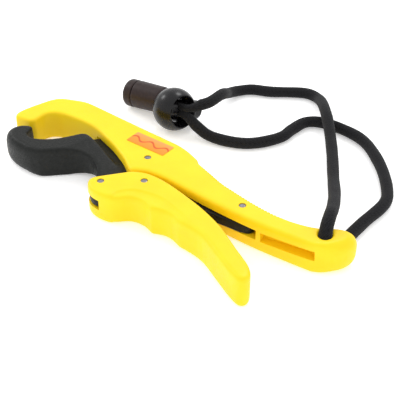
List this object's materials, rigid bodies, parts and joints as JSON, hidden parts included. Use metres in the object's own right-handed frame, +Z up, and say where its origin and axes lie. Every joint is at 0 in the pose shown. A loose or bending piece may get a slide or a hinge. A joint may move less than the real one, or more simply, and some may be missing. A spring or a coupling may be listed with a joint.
{
  "type": "fish lip grip",
  "caption": "Floating plastic fish lip grip with a toggle-locked lower jaw, trigger lever, and a cord lanyard with a ball cord lock",
  "frame": {"origin": "under the middle of the grip itself, on the surface it lies flat on", "axes": "+X from the jaws to the tail of the handle, +Y from the trigger to the back, +Z up through the thickness"},
  "size_m": [0.2378, 0.2094, 0.0282],
  "materials": {
    "yellow_plastic": "bright yellow injection-moulded plastic, satin",
    "black_plastic": "charcoal black moulded plastic, fine matte texture",
    "steel_pin": "grey steel pin ends",
    "orange_label": "orange printed sticker",
    "black_cord": "black braided cord",
    "ball_plastic": "glossy black plastic",
    "spring_steel": "bright spring wire",
    "barrel_plastic": "matte black plastic"
  },
  "bodies": {
    "grip_body": {"body": "yellow_plastic", "jaw_pivot_pin": "steel_pin", "link_rear_pin": "steel_pin", "label": "orange_label", "lanyard_cord": "black_cord", "cord_lock_ball": "ball_plastic", "cord_lock_spring": "spring_steel", "cord_end_barrel": "barrel_plastic", "cord_end_cap": "barrel_plastic"},
    "jaw": {"lower_jaw": "black_plastic"},
    "trigger": {"trigger_lever": "yellow_plastic", "lever_pivot_pin": "steel_pin", "link_front_pin": "steel_pin"},
    "link": {"toggle_link": "black_plastic"},
    "lock_button": {"cord_lock_plunger": "ball_plastic"}
  },
  "joints": [
    {"name": "jaw_hinge", "type": "hinge", "parent": "grip_body", "child": "jaw", "pos_m": [-0.01899, 0.01619, 0.01], "axis": [0, 0, 1], "range_deg": [0, 16]},
    {"name": "trigger_hinge", "type": "hinge", "parent": "jaw", "child": "trigger", "pos_m": [-0.02819, -0.01791, 0.01], "axis": [0, 0, 1], "range_deg": [-59.2, 0]},
    {"name": "link_hinge", "type": "hinge", "parent": "grip_body", "child": "link", "pos_m": [0.05251, 0.00599, 0.01], "axis": [0, 0, 1], "range_deg": [0, 23.2]},
    {"name": "lock_button_slide", "type": "slide", "parent": "grip_body", "child": "lock_button", "axis": [-0.3152, -0.8754, 0.3664], "range_m": [0, 0.0026], "stiffness_N_per_m": 600, "springref_m": -0.003, "deforming": ["cord_lock_spring"]}
  ],
  "couplings": [
    {"joint": "trigger_hinge", "follows": "jaw_hinge", "ratio": -3.7},
    {"joint": "link_hinge", "follows": "jaw_hinge", "ratio": 1.45}
  ]
}
